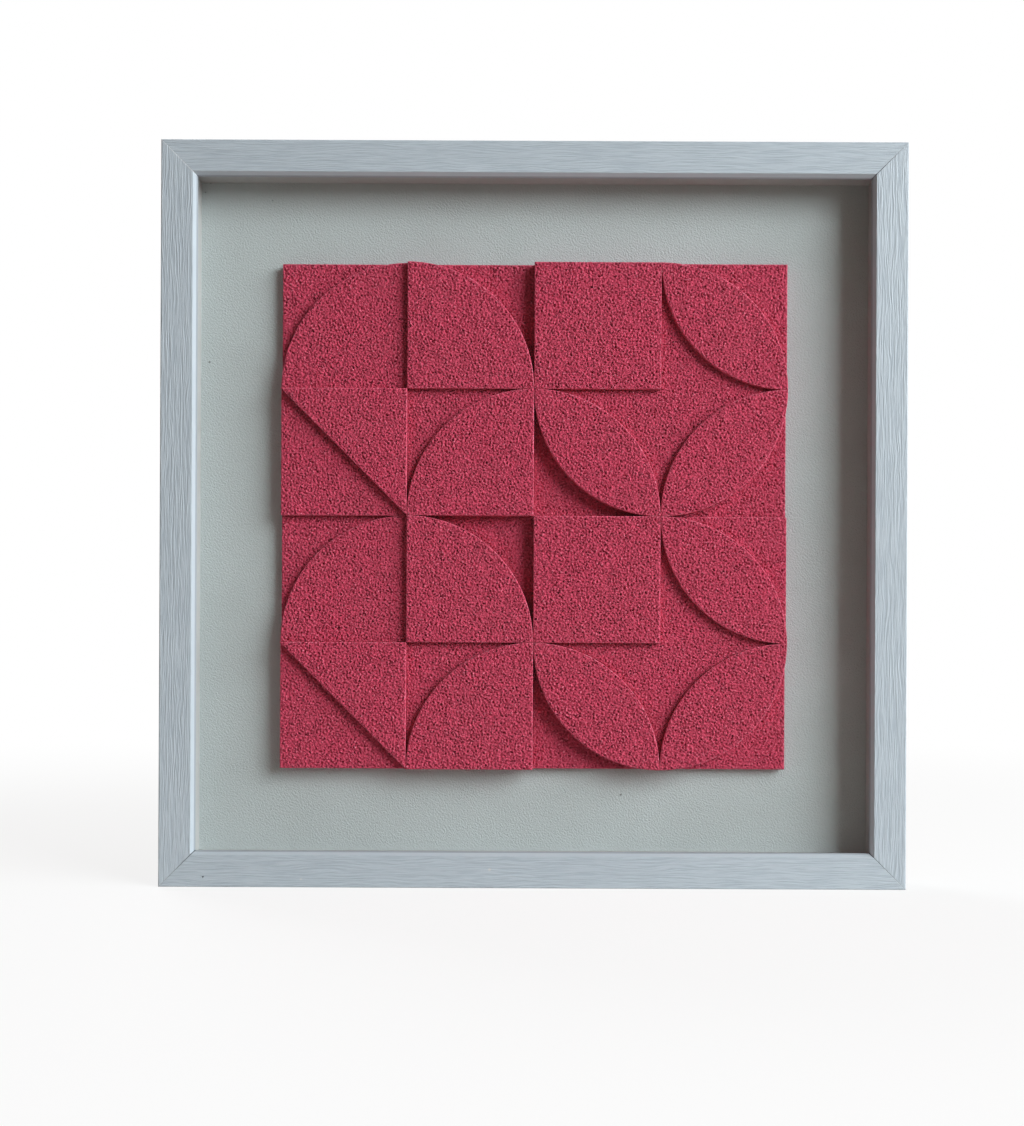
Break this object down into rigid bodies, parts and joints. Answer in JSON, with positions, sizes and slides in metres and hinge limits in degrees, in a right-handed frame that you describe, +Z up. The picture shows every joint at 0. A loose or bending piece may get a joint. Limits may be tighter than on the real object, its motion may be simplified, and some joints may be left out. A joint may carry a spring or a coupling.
{
  "type": "framed paper relief",
  "caption": "Square deep box frame with glass, holding a geometric relief of thick cut pieces with a granular surface on a pale board, to hang or stand.",
  "frame": {"origin": "under the middle of the frame, on its lowest edge, half way between the front face and the wall plane", "axes": "+Z up, -Y towards the viewer through the glass, +X to the viewer's right"},
  "size_m": [0.5, 0.045, 0.5],
  "materials": {
    "moulding": "painted blue-grey with an embossed grain and a smooth bevel",
    "glass": "clear float glass",
    "spacer_board": "pale grey card",
    "mount_board": "pale grey-green with a fine leathery emboss",
    "relief_paper": "raspberry red with a coarse granular surface",
    "hardboard": "plain brown hardboard",
    "steel": "zinc-plated steel",
    "bumper_felt": "dark felt"
  },
  "bodies": {
    "root": {"back_panel": "hardboard", "backing_board": "mount_board", "bottom_rail": "moulding", "bottom_spacer": "spacer_board", "corner_r1c1": "relief_paper", "corner_r1c2": "relief_paper", "corner_r1c4": "relief_paper", "corner_r2c2": "relief_paper", "corner_r2c3": "relief_paper", "corner_r2c4": "relief_paper", "corner_r3c1": "relief_paper", "corner_r3c2": "relief_paper", "corner_r3c4": "relief_paper", "corner_r4c2": "relief_paper", "corner_r4c3": "relief_paper", "corner_r4c4": "relief_paper", "corner_v_nails": "steel", "glass_pane": "glass", "hanger_pins": "steel", "leaf_r1c4": "relief_paper", "leaf_r2c3": "relief_paper", "leaf_r2c4": "relief_paper", "leaf_r3c4": "relief_paper", "leaf_r4c3": "relief_paper", "leaf_r4c4": "relief_paper", "left_bumper": "bumper_felt", "left_hanger": "steel", "left_rail": "moulding", "left_spacer": "spacer_board", "lower_triangle_r2c1": "relief_paper", "lower_triangle_r4c1": "relief_paper", "quarter_disc_r1c1": "relief_paper", "quarter_disc_r1c2": "relief_paper", "quarter_disc_r2c2": "relief_paper", "quarter_disc_r3c1": "relief_paper", "quarter_disc_r3c2": "relief_paper", "quarter_disc_r4c2": "relief_paper", "retaining_points": "steel", "right_bumper": "bumper_felt", "right_hanger": "steel", "right_rail": "moulding", "right_spacer": "spacer_board", "square_r1c3": "relief_paper", "square_r3c3": "relief_paper", "star_r2c4": "relief_paper", "star_r4c4": "relief_paper", "top_rail": "moulding", "top_spacer": "spacer_board", "upper_triangle_r2c1": "relief_paper", "upper_triangle_r4c1": "relief_paper"}
  },
  "joints": []
}
